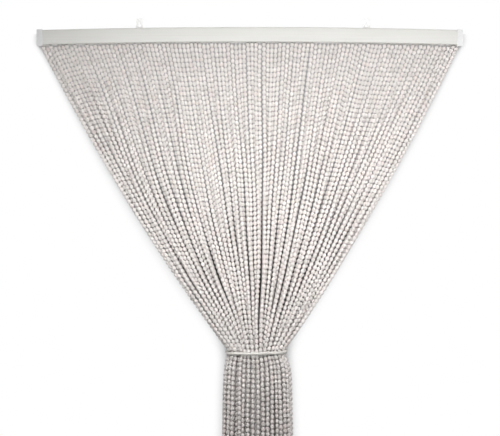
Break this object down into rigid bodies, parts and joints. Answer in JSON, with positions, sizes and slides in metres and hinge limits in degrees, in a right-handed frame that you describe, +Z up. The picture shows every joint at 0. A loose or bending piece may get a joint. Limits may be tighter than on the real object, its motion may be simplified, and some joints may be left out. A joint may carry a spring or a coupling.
{
  "type": "chain fly curtain with its hanging rail",
  "caption": "Fly curtain of beaded strands on a white rail with end caps and keyhole lugs, drawn in by a cord tie to a hanging bundle.",
  "frame": {"origin": "on the flat back of the rail, at the middle of its length and height", "axes": "+X along the rail to the right as seen from the front, +Y into the wall, +Z up; the front looks towards -Y"},
  "size_m": [0.8916, 0.0922, 2.0006],
  "materials": {
    "rail_enamel": "satin off-white enamel on an aluminium channel",
    "cap_plastic": "plain white moulded plastic",
    "lug_plastic": "white moulded plastic, a little milky",
    "bead_plastic": "soft gloss, off-white with a slight warm tint",
    "tie_cord": "smooth cream cord"
  },
  "bodies": {
    "root": {"rail": "rail_enamel", "cap_left": "cap_plastic", "cap_right": "cap_plastic", "lug_left": "lug_plastic", "lug_right": "lug_plastic", "strands": "bead_plastic", "tie": "tie_cord"}
  },
  "joints": []
}
